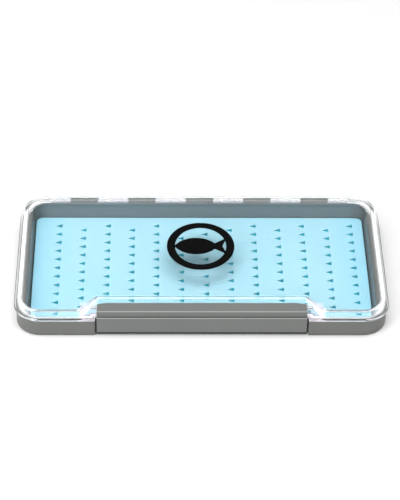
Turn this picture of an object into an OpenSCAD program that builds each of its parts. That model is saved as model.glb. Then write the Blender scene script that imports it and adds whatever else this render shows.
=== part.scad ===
// Slim waterproof fly box: grey tray, clear hinged lid, snap latch and slit silicone insert.
// Origin on the table under the middle of the box. +X right, -Y towards the latch, +Z up.

/* [Overall] */
// Width across the lid's rim
box_w = 200; // [170:1:250]
// Depth from the lid's front edge to the back of the hinge barrels
box_d = 103; // [85:1:130]
// Corner radius of the lid's rim, seen from above
rim_r = 13.9; // [10:0.1:18]

/* [Tray] */
// Height of the tray's rim above the table
tray_h = 10; // [9:0.1:13]
// Thickness of the tray's floor
floor_t = 1.2; // [1:0.1:2]
// How far the lid's rim stands out past the tray on each side
side_overhang = 1.2; // [0.6:0.1:2]
// How far the lid's rim stands out past the tray at the front
front_overhang = 0.4; // [0.2:0.1:1]
// Ledge of the tray's rim inside the seal, at the sides
side_ledge = 2.1; // [0.4:0.1:3]
// How much the tray's side walls lean in from rim to floor
wall_lean_side = 1.5; // [0.8:0.1:4]
// How much the tray's back wall leans in from rim to floor
wall_lean_back = 2; // [0.8:0.1:3]
// Inner corner radius at the tray's rim
mouth_r = 8; // [7:0.5:12]
// Height of the lip round the back of the tray's mouth
back_lip_h = 2.2; // [0.6:0.1:2.2]

/* [Seal] */
// Width of the groove that holds the gasket
groove_w = 1.6; // [1.2:0.1:1.8]
// Depth of the gasket groove
groove_depth = 1.2; // [0.8:0.1:1.6]
// Wall of the tray left outside the groove
groove_wall = 1.2; // [1:0.1:2]
// Wall of the tray left outside the groove at the front
front_groove_wall = 1.9; // [1:0.1:2]
// Wall left outside the groove where it passes the latch recess
recess_groove_wall = 1; // [0.8:0.1:1.6]
// Wall left outside the groove where it passes the hinge
hinge_groove_wall = 0.5; // [0.4:0.1:1]
// Wall of the tray left inside the groove
groove_lip = 0.6; // [0.5:0.1:1.2]
// Gap between the gasket and each side of its groove
gasket_gap = 0.05; // [0.02:0.01:0.1]
// How far the gasket stands out of its groove
gasket_proud = 0.1; // [0.05:0.01:0.14]
// How far the lid's flange reaches in past the gasket groove at the sides
seal_cover = 0.3; // [0.1:0.1:0.5]

/* [Insert] */
// Thickness of the insert
insert_t = 2.6; // [2.3:0.1:4.5]
// Thickness of the adhesive sheet under the insert
adhesive_t = 0.2; // [0.1:0.05:0.4]
// How far the adhesive sheet stays inside the insert's edge
adhesive_inset = 1; // [0.5:0.5:5]
// Gap between the insert and the foot of the tray's walls
insert_gap = 0.3; // [0.2:0.1:1]
// Corner radius of the insert
insert_r = 3.5; // [3:0.5:8]
// Distance between columns of slits
column_pitch = 13.55; // [11:0.05:18]
// Distance between rows of slits
row_pitch = 7.2; // [6:0.1:10]
// Least distance from a slit to the insert's edge
slit_margin = 5.2; // [4:0.1:8]
// Length of the open mouth of a slit
mouth_l = 3.4; // [2:0.1:4]
// Width of the open mouth of a slit
mouth_w = 2.8; // [1.4:0.1:3.4]
// Length of the fine cut beside the mouth
cut_l = 5.2; // [4:0.1:8]
// Width of the fine cut
cut_w = 0.2; // [0.1:0.05:0.5]
// Depth of a slit
slit_depth = 2; // [1.2:0.1:2.2]

/* [Lid] */
// Gap between the tray's rim and the lid
lid_gap = 0.2; // [0.15:0.05:0.3]
// Thickness of the lid's rim flange
flange_t = 1.4; // [1.2:0.1:2]
// Height of the lid's raised part above the flange
lid_rise = 4.3; // [3.6:0.1:9]
// How far the raised part of the lid is set in from the flange
bubble_inset = 2; // [1.5:0.1:3]
// How far the raised part is set in from the flange on the hinge side
bubble_inset_back = 1; // [0.8:0.1:2]
// Thickness of the lid's upright walls
lid_wall = 2.1; // [1.6:0.1:2.4]
// Thickness of the lid's top
lid_top_t = 1.6; // [1.2:0.1:2]
// How far the back of the front notch is narrower than the latch at each end
notch_narrow = 1.2; // [1:0.1:8]
// Sideways run of the curve at each end of the notch
notch_run = 11; // [8:0.5:18]
// Gap between the back of the latch and the notch wall
notch_gap = 3.5; // [2:0.1:6]

/* [Emblem] */
// Width of the printed emblem
emblem_w = 37; // [30:1:60]
// Depth of the printed emblem
emblem_d = 40; // [15:1:50]
// Thickness of the emblem's film
emblem_t = 0.1; // [0.05:0.05:0.2]
// How far the emblem sits behind the middle of the box
emblem_back = 4; // [-5:1:15]
// Width of the emblem's ring
ring_w = 4.5; // [3:0.1:6]
// Height of the fish that spans the ring
fish_h = 14; // [8:0.5:18]
// Length of the fish's tail behind its body
fish_tail_l = 5; // [3:0.5:6]

/* [Hinge] */
// Outer radius of the hinge barrels
barrel_r = 2; // [1.8:0.1:2.6]
// Distance from the end of the hinge to the start of the rim's corner
hinge_end = 2.1; // [1:0.1:8]
// Length of a tray barrel
barrel_l = 15.2; // [10:0.1:18]
// Number of tray barrels, an odd number
barrel_count = 5; // [3:2:5]
// Length of the lid's two end barrels
end_barrel_l = 11.3; // [8:0.1:14]
// Radius of both steel pins
pin_r = 0.8; // [0.6:0.05:1]
// How far the axis of the hinge is behind the lid's rim
axis_behind = 0.4; // [0.3:0.05:0.6]
// How far the axis of the hinge is above the lid's underside
axis_lift = 0.4; // [0.2:0.05:0.8]
// Radial clearance of a pin where it turns
pin_running = 0.06; // [0.03:0.01:0.1]
// Radial clearance of a pin where it is held
pin_held = 0.01; // [0.01:0.01:0.02]
// Clearance around moving parts
swing_gap = 0.3; // [0.2:0.05:0.5]

/* [Latch] */
// Width of the latch
latch_w = 111.4; // [80:0.2:134]
// Gap at each end of the latch
latch_end_gap = 0.9; // [0.5:0.1:1.5]
// Depth of the latch's top, front to back
latch_d = 8.6; // [7:0.1:9.4]
// Thickness of the latch's front panel
latch_t = 1.6; // [1.2:0.1:2]
// Height of the latch's lower edge above the table
latch_lift = 0.6; // [0.5:0.1:2]
// How far the latch's lower edge slopes back
foot_in = 1.2; // [0.4:0.1:1.4]
// Height of that slope
foot_up = 1.7; // [1:0.1:2.5]
// Height of the latch's front ledge above the lid's flange
ledge_rise = 0.5; // [0.2:0.1:1.5]
// Depth of that ledge
ledge_d = 1; // [0.6:0.1:1.6]
// Depth of the recess in the tray's front for the latch
recess_d = 2.8; // [2.4:0.1:3.2]
// Height of the catch rib's lower edge above the table
catch_z = 3.6; // [3:0.1:5]
// Corner radius of the latch's top at the back
latch_corner_r = 2; // [1:0.5:5]
// Width of the catch under the latch
catch_w = 40; // [20:1:60]
// How far the catch rib stands out of the tray
catch_out = 0.8; // [0.6:0.1:1]
// Bite of the latch's bead behind the rib
catch_bite = 0.3; // [0.2:0.05:0.4]
// Width of each lug that carries the latch pin
lug_w = 4.4; // [3:0.1:5]
// How far the latch pin's bore runs into each lug
lug_bore = 2.4; // [1.6:0.1:2.6]

/* [Hidden] */
$fn = 48;
cut_over = 1; // how far a cut runs past the surface that it opens
root = 0.4; // how far an added piece is sunk into the wall that carries it
sliver = 0.02; // thickness of the slab at the foot of the tray's pocket

// Levels of the tray, the insert and the lid
insert_z = floor_t + adhesive_t;
insert_top = insert_z + insert_t;
lid_z = tray_h + lid_gap;
flange_z = lid_z + flange_t;
lid_top = flange_z + lid_rise;
box_h = lid_top + emblem_t;

// Hinge axis
axis_y = box_d / 2 - barrel_r;
axis_z = lid_z + axis_lift;
hinge_clear_r = barrel_r + swing_gap;

// Plans are lists of [half width, front y, back y, corner radius]
rim_front_y = -box_d / 2;
rim_back_y = axis_y - axis_behind;
rim_plan = [box_w / 2, rim_front_y, rim_back_y, rim_r];
tray_front_y = rim_front_y + front_overhang;
tray_back_y = rim_back_y - swing_gap;
tray_plan = [box_w / 2 - side_overhang, tray_front_y, tray_back_y, rim_r - side_overhang / 2];
bubble_plan = [
    rim_plan[0] - bubble_inset, rim_front_y + bubble_inset, rim_back_y - bubble_inset_back,
    rim_r - bubble_inset
];

// Front notch of the lid
notch_y = tray_front_y + latch_d + notch_gap;
notch_half = latch_w / 2 - notch_narrow;

// Latch recess, and the seal that passes it and the hinge
recess_half = latch_w / 2 + latch_end_gap;
recess_y = tray_front_y + recess_d;
recess_wall = recess_groove_wall + groove_w + groove_lip;
seal_w = groove_wall + groove_w + groove_lip;
groove_back_y = axis_y - hinge_clear_r - hinge_groove_wall;

// Mouth of the tray at its rim, and its foot on the floor
mouth_back_y = groove_back_y - groove_w - groove_lip;
mouth_plan = [
    tray_plan[0] - seal_w - side_ledge, tray_front_y + front_groove_wall + groove_w + groove_lip,
    mouth_back_y, mouth_r
];
back_lip_t = groove_lip - gasket_gap;
foot_front_y = recess_y + recess_wall;
foot_plan = [
    mouth_plan[0] - wall_lean_side, foot_front_y, mouth_back_y - wall_lean_back,
    insert_r + insert_gap
];

// Insert and its slit pattern
insert_plan = shrink(foot_plan, insert_gap);
insert_w = 2 * insert_plan[0];
insert_d = insert_plan[2] - insert_plan[1];
insert_mid_y = (insert_plan[1] + insert_plan[2]) / 2;
slit_l = mouth_l + cut_l;
columns = floor((insert_w - 2 * slit_margin - slit_l) / column_pitch) + 1;
rows = floor((insert_d - 2 * slit_margin - mouth_w) / row_pitch) + 1;

// Hinge barrels along X: the tray's are evenly spaced, the lid's fill the rest
hinge_half = box_w / 2 - rim_r - hinge_end;
tray_barrels_half = hinge_half - end_barrel_l - swing_gap;
barrel_pitch = (2 * tray_barrels_half - barrel_l) / (barrel_count - 1);
lid_barrel_l = barrel_pitch - barrel_l - 2 * swing_gap;
pin_inset = 0.5;

// Latch: its barrel fills the height between the flange and the top
latch_skim = 0.05;
pivot_r = (box_h - flange_z - swing_gap) / 2 - latch_skim;
pivot_y = tray_front_y + latch_d - pivot_r;
pivot_z = box_h - pivot_r - latch_skim;
lug_r = pivot_r - latch_skim;
pin_end_gap = 0.1;
ledge_z = flange_z + ledge_rise;
latch_top_t = 1.6;
latch_neck = 2.6;
latch_edge = 0.4;
latch_ridge = 0.6;
latch_back_edge = 0.8;
catch_h = 1.2;
bead_h = 0.9;
bead_short = 1;

grey = "gray";
oval_steps = 60; // points round the emblem's outline
curve_steps = 12; // points along the curve at each end of the notch
fish_root = fish_tail_l; // how far the tail is sunk into the body
fish_fork = fish_tail_l / 2; // depth of the fork in the tail

// A plan made smaller by the same amount all round
function shrink(plan, by) = [plan[0] - by, plan[1] + by, plan[2] - by, plan[3] - by];

// Rounded rectangle from a plan
module plan_shape(plan) {
    half = plan[0];
    y0 = plan[1];
    y1 = plan[2];
    r = plan[3];
    translate([-half + r, y0]) square([2 * half - 2 * r, y1 - y0]);
    translate([-half, y0 + r]) square([2 * half, y1 - y0 - 2 * r]);
    for (x = [-half + r, half - r], y = [y0 + r, y1 - r])
        translate([x, y]) circle(r);
}

// Upright slab with a rounded rectangle as its plan
module slab(plan, z0, z1) {
    translate([0, 0, z0]) linear_extrude(z1 - z0) plan_shape(plan);
}

// Cylinder along X, centred on x
module rod(x, length, r, y, z) {
    translate([x, y, z]) rotate([0, 90, 0]) cylinder(h = length, r = r, center = true);
}

// Box between two corners
module block(low, high) {
    translate(low) cube(high - low);
}

// Latch recess in plan, grown by the given amount, with round inner corners when it grows
module recess_shape(grow) {
    front = rim_front_y - cut_over;
    translate([-recess_half, front]) square([2 * recess_half, recess_y + grow - front]);
    if (grow > 0) {
        translate([-recess_half - grow, front]) square([2 * (recess_half + grow), recess_y - front]);
        for (side = [-1, 1])
            translate([side * recess_half, recess_y]) circle(grow);
    }
}

// Outline of the seal, set in from the tray's edge, the latch recess and the hinge
module seal_shape(inset) {
    extra = groove_wall - inset;
    plan = [
        tray_plan[0] - inset, tray_front_y + front_groove_wall - extra, groove_back_y + extra,
        tray_plan[3] - inset
    ];
    difference() {
        plan_shape(plan);
        recess_shape(recess_groove_wall - extra);
    }
}

// Ring between two insets of the seal outline
module seal_ring(outer, inner, z0, z1) {
    translate([0, 0, z0]) linear_extrude(z1 - z0) difference() {
        seal_shape(outer);
        seal_shape(inner);
    }
}

// Front notch of the lid in plan: a flat back with a cosine curve at each end
function notch_curve(side, half, y0, y1) = [
    for (i = [0:curve_steps])
        let (t = i / curve_steps)
        [side * (half + notch_run * (1 - t)), y0 + (y1 - y0) * (1 - cos(180 * t)) / 2]
];
function backwards(points) = [for (i = [len(points) - 1:-1:0]) points[i]];

module notch_shape(grow) {
    half = notch_half + grow / 2;
    y0 = bubble_plan[1] + grow;
    y1 = notch_y + grow;
    front = y0 - bubble_inset - 2 * cut_over;
    polygon(concat(
        [[-half - notch_run, front]],
        notch_curve(-1, half, y0, y1),
        backwards(notch_curve(1, half, y0, y1)),
        [[half + notch_run, front]]
    ));
}

// Raised part of the lid in plan, set in by the given amount
module bubble_shape(inset) {
    difference() {
        plan_shape(shrink(bubble_plan, inset));
        notch_shape(inset);
    }
}

// Places of the tray's barrels along X
function tray_barrel_x() = [
    for (i = [0:barrel_count - 1]) (i - (barrel_count - 1) / 2) * barrel_pitch
];

// Barrels of the tray, or the room that the lid leaves for them
module tray_barrels(grow) {
    for (x = tray_barrel_x())
        rod(x, barrel_l + 2 * grow, barrel_r + grow, axis_y, axis_z);
}

// Barrels of the lid, or the room that the tray leaves for them
module lid_barrels(grow) {
    for (i = [0:barrel_count - 2])
        rod(
            (i - (barrel_count - 2) / 2) * barrel_pitch, lid_barrel_l + 2 * grow,
            barrel_r + grow, axis_y, axis_z
        );
    for (side = [-1, 1])
        rod(
            side * (hinge_half - end_barrel_l / 2), end_barrel_l + 2 * grow,
            barrel_r + grow, axis_y, axis_z
        );
}

// The tray's inside, wider at the rim than at the floor
module tray_pocket() {
    hull() {
        slab(foot_plan, floor_t, floor_t + sliver, $fn = 32);
        slab(mouth_plan, tray_h, tray_h + cut_over, $fn = 32);
    }
}

// Lip that stands round the back of the mouth, with a slope at each end
module back_lip() {
    top = tray_h + back_lip_h;
    start = mouth_back_y - mouth_r;
    end = mouth_back_y + cut_over;
    intersection() {
        translate([0, 0, tray_h - root]) linear_extrude(root + back_lip_h) difference() {
            plan_shape(shrink(mouth_plan, -back_lip_t));
            plan_shape(mouth_plan);
        }
        rotate([90, 0, 90]) linear_extrude(box_w, center = true) polygon([
            [start - root, tray_h - root], [start + back_lip_h, top], [end, top],
            [end, tray_h - root]
        ]);
    }
}

// Solid wall behind the latch recess
module recess_back() {
    half = recess_half + recess_wall;
    block([-half, recess_y, 0], [half, foot_front_y, tray_h]);
}

// Rib that the latch snaps under
module catch_rib() {
    block(
        [-catch_w / 2, recess_y - catch_out, catch_z],
        [catch_w / 2, recess_y + root, catch_z + catch_h]
    );
}

module base_tray() {
    color(grey) difference() {
        union() {
            difference() {
                slab(tray_plan, 0, tray_h);
                tray_pocket();
                translate([0, 0, -cut_over]) linear_extrude(tray_h + 2 * cut_over) recess_shape(0);
            }
            recess_back();
            back_lip();
            catch_rib();
            tray_barrels(0);
        }
        seal_ring(groove_wall, groove_wall + groove_w, tray_h - groove_depth, tray_h + cut_over);
        lid_barrels(swing_gap);
        rod(0, 2 * hinge_half + 2 * cut_over, pin_r + pin_held, axis_y, axis_z);
    }
}

module rim_gasket() {
    color("darkgray") seal_ring(
        groove_wall + gasket_gap, groove_wall + groove_w - gasket_gap,
        tray_h - groove_depth, tray_h + gasket_proud
    );
}

module insert_adhesive() {
    color("ivory") slab(shrink(insert_plan, adhesive_inset), floor_t, insert_z);
}

// One slit seen from above: an open triangular mouth with a fine cut at its point
module slit_shape() {
    translate([slit_l / 2, 0]) polygon([
        [0, -mouth_w / 2], [0, mouth_w / 2], [-mouth_l + cut_w, cut_w / 2],
        [-slit_l, cut_w / 2], [-slit_l, -cut_w / 2], [-mouth_l + cut_w, -cut_w / 2]
    ]);
}

// The pattern of slits: every second column is half a row lower and one row shorter
module slit_pattern() {
    for (c = [0:columns - 1]) {
        staggered = c % 2;
        for (r = [0:rows - 1 - staggered])
            translate([
                (c - (columns - 1) / 2) * column_pitch,
                insert_mid_y + ((rows - 1 - staggered) / 2 - r) * row_pitch
            ]) slit_shape();
    }
}

module silicone_insert() {
    color("lightblue") difference() {
        slab(insert_plan, insert_z, insert_top);
        translate([0, 0, insert_top - slit_depth]) linear_extrude(slit_depth + cut_over) slit_pattern();
    }
}

module hinge_pin() {
    color("silver") rod(0, 2 * (hinge_half - pin_inset), pin_r, axis_y, axis_z);
}

// Lug beside the latch that carries one end of the latch pin
module pin_lug(side) {
    x = side * (recess_half + lug_w / 2);
    rod(x, lug_w, lug_r, pivot_y, pivot_z);
    block(
        [x - lug_w / 2, pivot_y - lug_r, flange_z - root],
        [x + lug_w / 2, pivot_y + lug_r, pivot_z]
    );
}

// The lid's hollow: the raised room above and the mouth between the sealing faces below
module lid_hollow() {
    lip_room = back_lip_t + swing_gap;
    mouth_half = max(tray_plan[0] - groove_wall - groove_w - seal_cover, mouth_plan[0] + lip_room);
    mouth_back = mouth_back_y + lip_room;
    translate([0, 0, flange_z]) linear_extrude(lid_top - lid_top_t - flange_z) bubble_shape(lid_wall);
    translate([0, 0, lid_z - cut_over]) linear_extrude(flange_t + 2 * cut_over) intersection() {
        bubble_shape(lid_wall);
        translate([-mouth_half, -box_d / 2]) square([2 * mouth_half, box_d / 2 + mouth_back]);
    }
}

module lid_shell() {
    notch_front = recess_y + swing_gap;
    color("lightcyan", 0.35) difference() {
        union() {
            difference() {
                slab(rim_plan, lid_z, flange_z);
                block(
                    [-recess_half, rim_front_y - cut_over, 0],
                    [recess_half, notch_front, flange_z + cut_over]
                );
            }
            translate([0, 0, flange_z - root]) linear_extrude(lid_rise + root) bubble_shape(0);
            lid_barrels(0);
            for (side = [-1, 1])
                pin_lug(side);
        }
        lid_hollow();
        tray_barrels(swing_gap);
        rod(0, 2 * hinge_half + 2 * cut_over, pin_r + pin_running, axis_y, axis_z);
        rod(0, 2 * (recess_half + lug_bore), pin_r + pin_held, pivot_y, pivot_z);
    }
}

// Simple fish from one side of the ring to the other: two arcs that meet at the nose, and a forked tail
module fish_shape() {
    reach = emblem_w / 2 - ring_w + root;
    half = reach - fish_tail_l / 2;
    rise = fish_h / 2;
    arc_r = (half * half + rise * rise) / fish_h;
    translate([-fish_tail_l / 2, 0]) intersection() {
        translate([0, arc_r - rise]) circle(arc_r);
        translate([0, rise - arc_r]) circle(arc_r);
    }
    polygon([
        [reach - fish_tail_l - fish_root, 0], [reach, rise], [reach - fish_fork, 0], [reach, -rise]
    ]);
}

// Oval of the emblem, drawn in by the given amount
function oval(inset) = [
    for (i = [0:oval_steps - 1])
        let (turn = 360 * i / oval_steps)
        [(emblem_w / 2 - inset) * cos(turn), (emblem_d / 2 - inset) * sin(turn)]
];

module lid_emblem() {
    color("black") translate([0, emblem_back, lid_top]) linear_extrude(emblem_t) difference() {
        polygon(oval(0));
        difference() {
            polygon(oval(ring_w));
            fish_shape();
        }
    }
}

module latch_pin() {
    color("silver") rod(
        0, 2 * (recess_half + lug_bore - pin_end_gap), pin_r, pivot_y, pivot_z
    );
}

// Side view of the latch as [y, z] points, from its lower front edge up, with its front at f and back at b
function latch_profile(f, b) = [
    [f + foot_in, latch_lift], [f, latch_lift + foot_up], [f, ledge_z - latch_edge],
    [f + latch_edge, ledge_z], [f + ledge_d, ledge_z], [f + ledge_d, box_h - latch_ridge],
    [f + ledge_d + latch_ridge, box_h], [b - latch_back_edge, box_h],
    [b, box_h - latch_back_edge], [b, pivot_z],
    [b - pivot_r, box_h - latch_top_t],
    [f + latch_neck, box_h - latch_top_t], [f + latch_neck, flange_z],
    [f + latch_t, lid_z], [f + latch_t, latch_lift]
];

module latch_top_plan() {
    half = latch_w / 2;
    r = latch_corner_r;
    rear = pivot_y + pivot_r + latch_skim;
    front = tray_front_y - cut_over;
    translate([-half, front]) square([2 * half, rear - r - front]);
    translate([-half + r, front]) square([2 * half - 2 * r, rear - front]);
    for (side = [-1, 1])
        translate([side * (half - r), rear - r]) circle(r);
}

module latch() {
    bead_y = tray_front_y + latch_t;
    bead_in = recess_y - catch_out + catch_bite;
    color(grey) difference() {
        intersection() {
            union() {
                rotate([90, 0, 90]) linear_extrude(latch_w + 2 * cut_over, center = true)
                    polygon(latch_profile(tray_front_y, pivot_y + pivot_r));
                rod(0, latch_w + 2 * cut_over, pivot_r, pivot_y, pivot_z);
            }
            linear_extrude(box_h + cut_over) latch_top_plan();
        }
        rod(0, latch_w + 4 * cut_over, pin_r + pin_running, pivot_y, pivot_z);
    }
    color(grey) block(
        [-catch_w / 2 + bead_short, bead_y - root, catch_z - swing_gap - bead_h],
        [catch_w / 2 - bead_short, bead_in, catch_z - swing_gap]
    );
}

base_tray();
rim_gasket();
insert_adhesive();
silicone_insert();
hinge_pin();
lid_shell();
lid_emblem();
latch_pin();
latch();
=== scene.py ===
import math

import bpy
import numpy as np
from mathutils import Matrix, Vector


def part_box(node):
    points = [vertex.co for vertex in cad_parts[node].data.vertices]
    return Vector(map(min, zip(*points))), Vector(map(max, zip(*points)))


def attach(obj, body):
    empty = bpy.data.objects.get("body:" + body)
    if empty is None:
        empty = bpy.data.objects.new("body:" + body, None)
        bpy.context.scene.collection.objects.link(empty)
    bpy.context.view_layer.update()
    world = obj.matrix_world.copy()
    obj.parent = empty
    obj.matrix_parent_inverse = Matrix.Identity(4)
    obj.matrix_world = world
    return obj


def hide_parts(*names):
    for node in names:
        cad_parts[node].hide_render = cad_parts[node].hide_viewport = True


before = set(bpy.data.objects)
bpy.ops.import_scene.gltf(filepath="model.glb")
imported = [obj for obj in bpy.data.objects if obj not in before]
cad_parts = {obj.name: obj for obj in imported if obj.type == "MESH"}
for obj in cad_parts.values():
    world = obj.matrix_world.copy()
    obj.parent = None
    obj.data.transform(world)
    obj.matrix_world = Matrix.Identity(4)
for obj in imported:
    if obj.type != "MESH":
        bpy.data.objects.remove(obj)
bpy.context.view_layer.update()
mm = 0.001
print("frame loaded")


# Corners of a frame piece's box in millimetres
def cadBoxOf(node):
    return [np.array(corner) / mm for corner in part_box(node)]


trayHigh = cadBoxOf("base_tray")[1]
gasketLow, gasketHigh = cadBoxOf("rim_gasket")
insertLow, insertHigh = cadBoxOf("silicone_insert")
lidLow, lidHigh = cadBoxOf("lid_shell")
latchLow, latchHigh = cadBoxOf("latch")
hingeLow, hingeHigh = cadBoxOf("hinge_pin")
pivotLow, pivotHigh = cadBoxOf("latch_pin")
hingeAt = (hingeLow + hingeHigh) / 2
pivotAt = (pivotLow + pivotHigh) / 2
barrelR = trayHigh[1] - hingeAt[1]
swingGap = 0.3  # clear air beside anything that turns
pinFits = {
    "hingeHeld": 0.82, "hingeFree": 0.86, "pivotHeld": 0.81, "pivotFree": 0.86,
    "cover": 0.5, "past": 1.0, "bevel": 0.01, "sides": 32,
}
hingeHalf = hingeHigh[0] + pinFits["cover"]


cornerSteps = 12
endSteps = 14
flatSteps = 4
leastCorner = 0.3  # a corner drawn in further than its radius keeps this much
leastStep = 0.05  # a front step lower than this is drawn straight
flatReach = 1.0


# Quarter turns of a circle: points at centre + radius * (cos a, sin a), a from one angle to the other
def arcPoints(centre, radius, fromAngle, toAngle, steps):
    angle = np.radians(np.linspace(fromAngle, toAngle, steps))
    return np.stack([centre[0] + radius * np.cos(angle), centre[1] + radius * np.sin(angle)], 1)


# Front step of a plan: along the back of the recess, round its inner corner, then round the outer corner
def recessEnd(plan, inset):
    half, depth, front = plan["recessHalf"] + inset, plan["recessY"] + inset, plan["front"] + inset
    room = max(depth - front, 0.0)
    if room < leastStep:
        x = np.linspace(half - flatReach, half + flatReach, endSteps)
        return np.stack([x, np.full(endSteps, front)], 1)
    inner = min(plan["recessIn"] + inset, 0.5 * room)
    outer = min(max(plan["recessOut"] - inset, leastStep), 0.4 * room)
    first = arcPoints((half - inner, depth - inner), inner, 90, 0, endSteps // 2)
    second = arcPoints((half + outer, front + outer), outer, 180, 270, endSteps - endSteps // 2)
    return np.concatenate([first, second])


# Front notch of the lid: x runs out evenly while y falls along half a cosine wave
def curveEnd(plan, inset):
    t = np.linspace(1, 0, endSteps)
    half = plan["notchHalf"] + inset / 2
    front, back = plan["front"] + inset, plan["notchY"] + inset
    x = half + plan["notchRun"] * (1 - t)
    return np.stack([x, front + (back - front) * (1 - np.cos(math.pi * t)) / 2], 1)


# Closed outline of a plan drawn in by inset: the right half from the front middle round to the back middle,
# followed by its mirror image
def outline(plan, inset=0.0):
    half, front, back = plan["half"] - inset, plan["front"] + inset, plan["back"] - inset
    corner = max(plan["corner"] - inset, leastCorner)
    end = curveEnd(plan, inset) if "notchHalf" in plan else recessEnd(plan, inset)
    share = np.linspace(0, 1, flatSteps, endpoint=False)[:, None]
    first = end[0] * [0, 1] + share * (end[0] * [1, 0])
    frontCorner = arcPoints((half - corner, front + corner), corner, -90, 0, cornerSteps)
    backCorner = arcPoints((half - corner, back - corner), corner, 0, 90, cornerSteps)
    last = backCorner[-1] * (1 - share[1:]) + np.array([0, back]) * share[1:]
    right = np.concatenate([first, end, frontCorner, backCorner, last, [[0, back]]])
    return np.concatenate([right, right[-2:0:-1] * [-1, 1]])


# One ring of a stack: the outline drawn in by inset, and its height
def level(plan, inset, z):
    return [(outline(plan, inset), z)]


# Quarter ellipse between two (inset, height) pairs: insets go by 1 - cos t and heights by sin t when it
# leaves the first one along its wall ("up"), and the other way round when it leaves along its face ("in")
def roundEdge(plan, start, end, leaves, steps=4):
    t = np.linspace(0, math.pi / 2, steps + 1)[1:-1]
    slow, fast = 1 - np.cos(t), np.sin(t)
    a, b = (slow, fast) if leaves == "up" else (fast, slow)
    insets = start[0] + (end[0] - start[0]) * a
    heights = start[1] + (end[1] - start[1]) * b
    middle = [(outline(plan, i), z) for i, z in zip(insets, heights)]
    return level(plan, *start) + middle + level(plan, *end)


# Faces of a grid of rings: each point joins the next point of its ring and the same points of the next ring
def gridFaces(ringCount, ringSize, closed=False):
    ring = np.arange(ringCount if closed else ringCount - 1)[:, None]
    point = np.arange(ringSize)[None, :]
    after, above = (point + 1) % ringSize, (ring + 1) % ringCount
    low, high = ring * ringSize, above * ringSize
    return np.stack([low + point, low + after, high + after, high + point], -1).reshape(-1, 4)


# A named mesh from points in millimetres
def makePiece(name, vertices, faces):
    mesh = bpy.data.meshes.new(name)
    mesh.from_pydata((np.asarray(vertices) * mm).tolist(), [], [list(map(int, face)) for face in faces])
    mesh.validate()
    piece = bpy.data.objects.new(name, mesh)
    bpy.context.scene.collection.objects.link(piece)
    return piece


# A stack of (outline, height) rings joined into a skin; its first and last ring are closed with flat faces
def loft(name, stack, closed=False):
    rings = np.stack([np.column_stack([ring, np.broadcast_to(z, len(ring))]) for ring, z in stack])
    count, size = rings.shape[:2]
    faces = gridFaces(count, size, closed).tolist()
    if not closed:
        faces.append(list(range(size - 1, -1, -1)))
        faces.append(list(range((count - 1) * size, count * size)))
    return makePiece(name, rings.reshape(-1, 3), faces)


# Closed path of (a, b, radius) corners, each replaced by an arc: the arc's centre lies on the corner's
# bisector, at radius / sin(half the opening), and its points sweep the angle between the two sides
def roundCorners(corners, steps=5):
    given = np.asarray(corners, float)
    corner, radius = given[:, :2], given[:, 2:]
    toLast, toNext = np.roll(corner, 1, 0) - corner, np.roll(corner, -1, 0) - corner
    toLast /= np.linalg.norm(toLast, axis=1, keepdims=True)
    toNext /= np.linalg.norm(toNext, axis=1, keepdims=True)
    opening = np.arccos(np.clip((toLast * toNext).sum(1, keepdims=True), -1, 1))
    bisector = toLast + toNext
    bisector /= np.linalg.norm(bisector, axis=1, keepdims=True)
    centre = corner + bisector * radius / np.sin(opening / 2)
    side = toNext - bisector * (toNext * bisector).sum(1, keepdims=True)
    side /= np.linalg.norm(side, axis=1, keepdims=True)
    sweep = np.linspace(-0.5, 0.5, steps)[None, :, None] * (math.pi - opening)[:, None, :]
    arc = -bisector[:, None] * np.cos(sweep) + side[:, None] * np.sin(sweep)
    return (centre[:, None] + radius[:, None] * arc).reshape(-1, 2)


# A (y, z) profile carried along X between two ends. Within the rounding of each end it is drawn in along a
# quarter circle: x moves by rounding * (1 - cos t) while the profile's inset falls as rounding * (1 - sin
# t)
def barAlongX(name, profile, x0, x1, rounding, shape=None, ends=4, middle=2):
    t = np.linspace(0, math.pi / 2, ends)
    run = rounding * (1 - np.cos(t))
    draw = rounding * (1 - np.sin(t))
    inner = np.linspace(x0 + rounding, x1 - rounding, middle)[1:-1]
    x = np.concatenate([x0 + run, inner, x1 - run[::-1]])
    inset = np.concatenate([draw, np.zeros(len(inner)), draw[::-1]])
    along = np.roll(profile, -1, 0) - np.roll(profile, 1, 0)
    along /= np.linalg.norm(along, axis=1, keepdims=True)
    outward = np.stack([along[:, 1], -along[:, 0]], 1)
    area = (profile[:, 0] * np.roll(profile[:, 1], -1) - np.roll(profile[:, 0], -1) * profile[:, 1]).sum()
    turned = profile if area > 0 else profile[::-1]
    outward = outward if area > 0 else -outward[::-1]
    flat = turned[None] - outward[None] * inset[:, None, None]
    stations = np.broadcast_to(x[:, None, None], (len(x), len(profile), 1))
    grid = np.concatenate([stations, flat], 2)
    grid = grid if shape is None else shape(grid)
    count, size = grid.shape[:2]
    faces = gridFaces(count, size).tolist()
    faces.append(list(range(size - 1, -1, -1)))
    faces.append(list(range((count - 1) * size, count * size)))
    return makePiece(name, grid.reshape(-1, 3), faces)


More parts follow.
